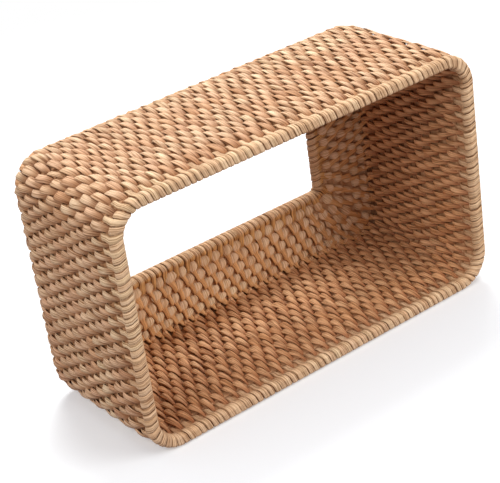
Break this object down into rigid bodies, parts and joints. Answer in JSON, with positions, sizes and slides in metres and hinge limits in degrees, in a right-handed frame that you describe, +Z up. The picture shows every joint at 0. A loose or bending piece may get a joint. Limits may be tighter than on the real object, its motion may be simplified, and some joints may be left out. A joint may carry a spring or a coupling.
{
  "type": "tissue box cover",
  "caption": "Rectangular tissue box cover of coiled rattan with rounded corners, an open base with a wrapped rim, and a long rounded slot in its top panel.",
  "frame": {"origin": "centre of the open base, on the plane that the base rim stands on", "axes": "+Z up towards the slotted top panel, X along the length, Y along the width"},
  "size_m": [0.26, 0.155, 0.105],
  "materials": {
    "rattan_core": "matt peeled rattan core",
    "wall_peel": "natural rattan peel, satin",
    "panel_peel": "natural rattan peel, satin",
    "rim_peel": "natural rattan peel, satin, closely wrapped"
  },
  "bodies": {
    "root": {"base_rim_binding": "rim_peel", "base_rim_core": "rattan_core", "panel_course_01_binding": "panel_peel", "panel_course_01_core": "rattan_core", "panel_course_02_binding": "panel_peel", "panel_course_02_core": "rattan_core", "panel_course_03_binding": "panel_peel", "panel_course_03_core": "rattan_core", "panel_course_04_binding": "panel_peel", "panel_course_04_core": "rattan_core", "panel_course_05_binding": "panel_peel", "panel_course_05_core": "rattan_core", "shoulder_course_01_binding": "wall_peel", "shoulder_course_01_core": "rattan_core", "slot_rim_binding": "rim_peel", "slot_rim_core": "rattan_core", "wall_course_01_binding": "wall_peel", "wall_course_01_core": "rattan_core", "wall_course_02_binding": "wall_peel", "wall_course_02_core": "rattan_core", "wall_course_03_binding": "wall_peel", "wall_course_03_core": "rattan_core", "wall_course_04_binding": "wall_peel", "wall_course_04_core": "rattan_core", "wall_course_05_binding": "wall_peel", "wall_course_05_core": "rattan_core", "wall_course_06_binding": "wall_peel", "wall_course_06_core": "rattan_core", "wall_course_07_binding": "wall_peel", "wall_course_07_core": "rattan_core", "wall_course_08_binding": "wall_peel", "wall_course_08_core": "rattan_core", "wall_course_09_binding": "wall_peel", "wall_course_09_core": "rattan_core", "wall_course_10_binding": "wall_peel", "wall_course_10_core": "rattan_core", "wall_course_11_binding": "wall_peel", "wall_course_11_core": "rattan_core", "wall_course_12_binding": "wall_peel", "wall_course_12_core": "rattan_core"}
  },
  "joints": []
}
